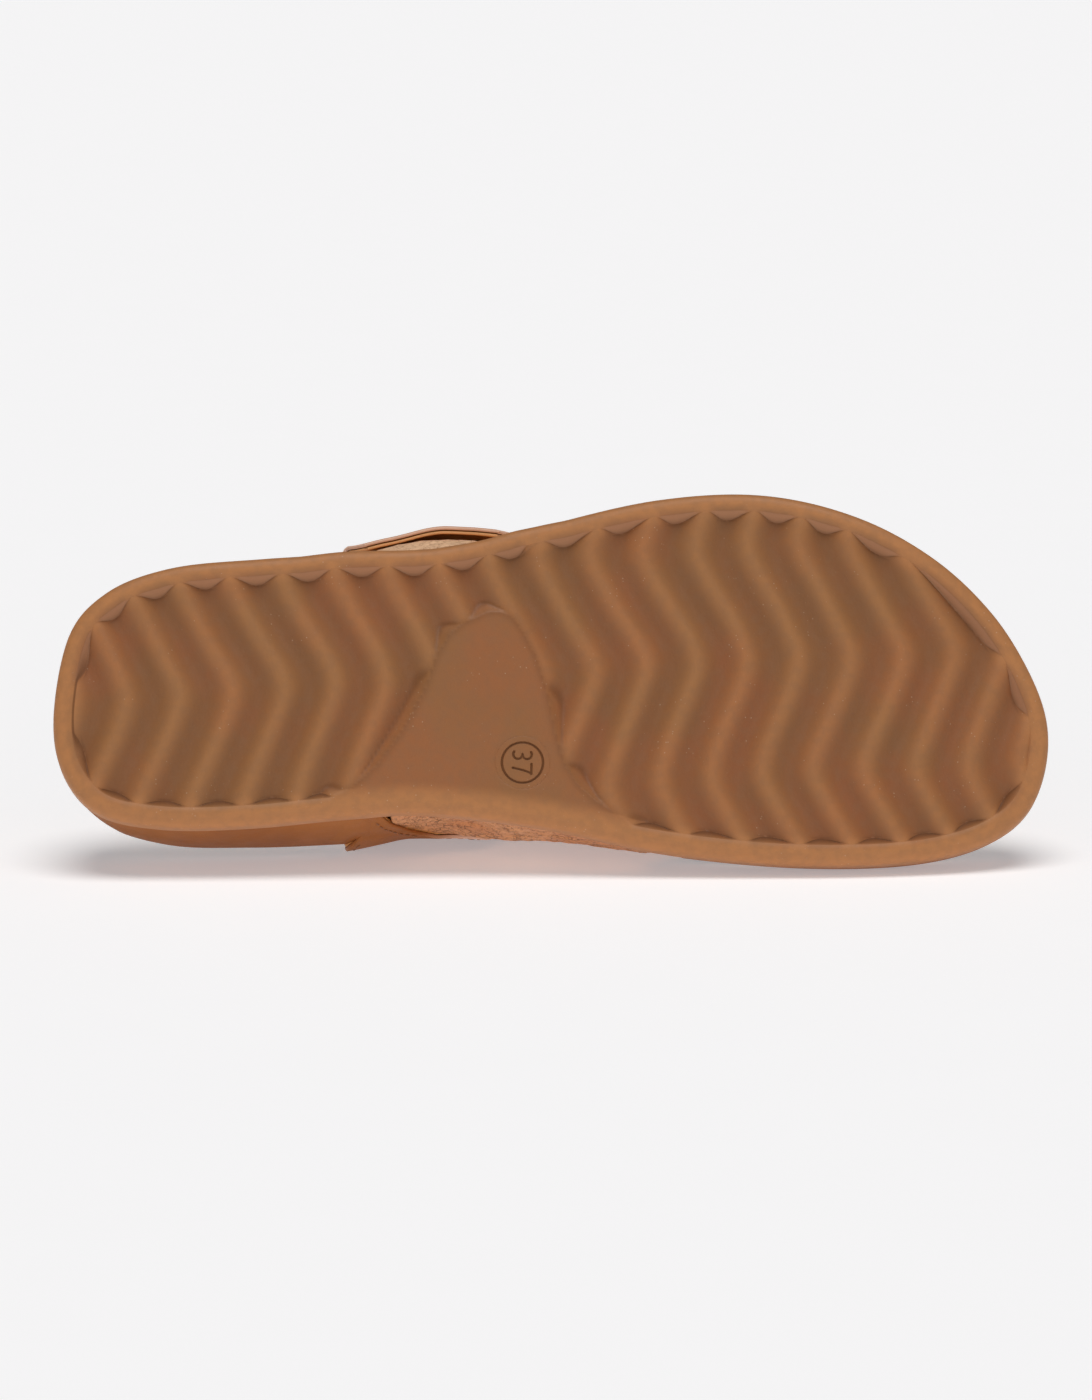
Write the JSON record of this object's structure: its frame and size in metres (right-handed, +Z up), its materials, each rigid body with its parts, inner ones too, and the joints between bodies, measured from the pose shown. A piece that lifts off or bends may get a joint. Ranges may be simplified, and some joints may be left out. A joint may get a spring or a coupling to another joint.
{
  "type": "toe post sandal",
  "caption": "Empty right-foot toe post sandal lying on its inner side: wave-tread rubber sole, leather-wrapped footbed, hollow leather upper, instep strap and toe post.",
  "frame": {"origin": "middle of the sandal's footprint as it lies on its inner side, on the floor it lies on", "axes": "+X from heel to toe, +Z up from the floor, +Y away from the tread, which faces -Y and slightly up"},
  "size_m": [0.253, 0.0972, 0.0928],
  "materials": {
    "gum_rubber": "satin gum rubber",
    "wrap_leather": "smooth satin",
    "insole_leather": "smooth matte",
    "crackle_leather": "crinkled, matte",
    "strap_leather": "smooth satin",
    "post_leather": "smooth satin"
  },
  "bodies": {
    "root": {"outsole": "gum_rubber", "midsole": "wrap_leather", "insole": "insole_leather", "upper": "crackle_leather", "instep_strap": "strap_leather", "toe_post": "post_leather"}
  },
  "joints": []
}
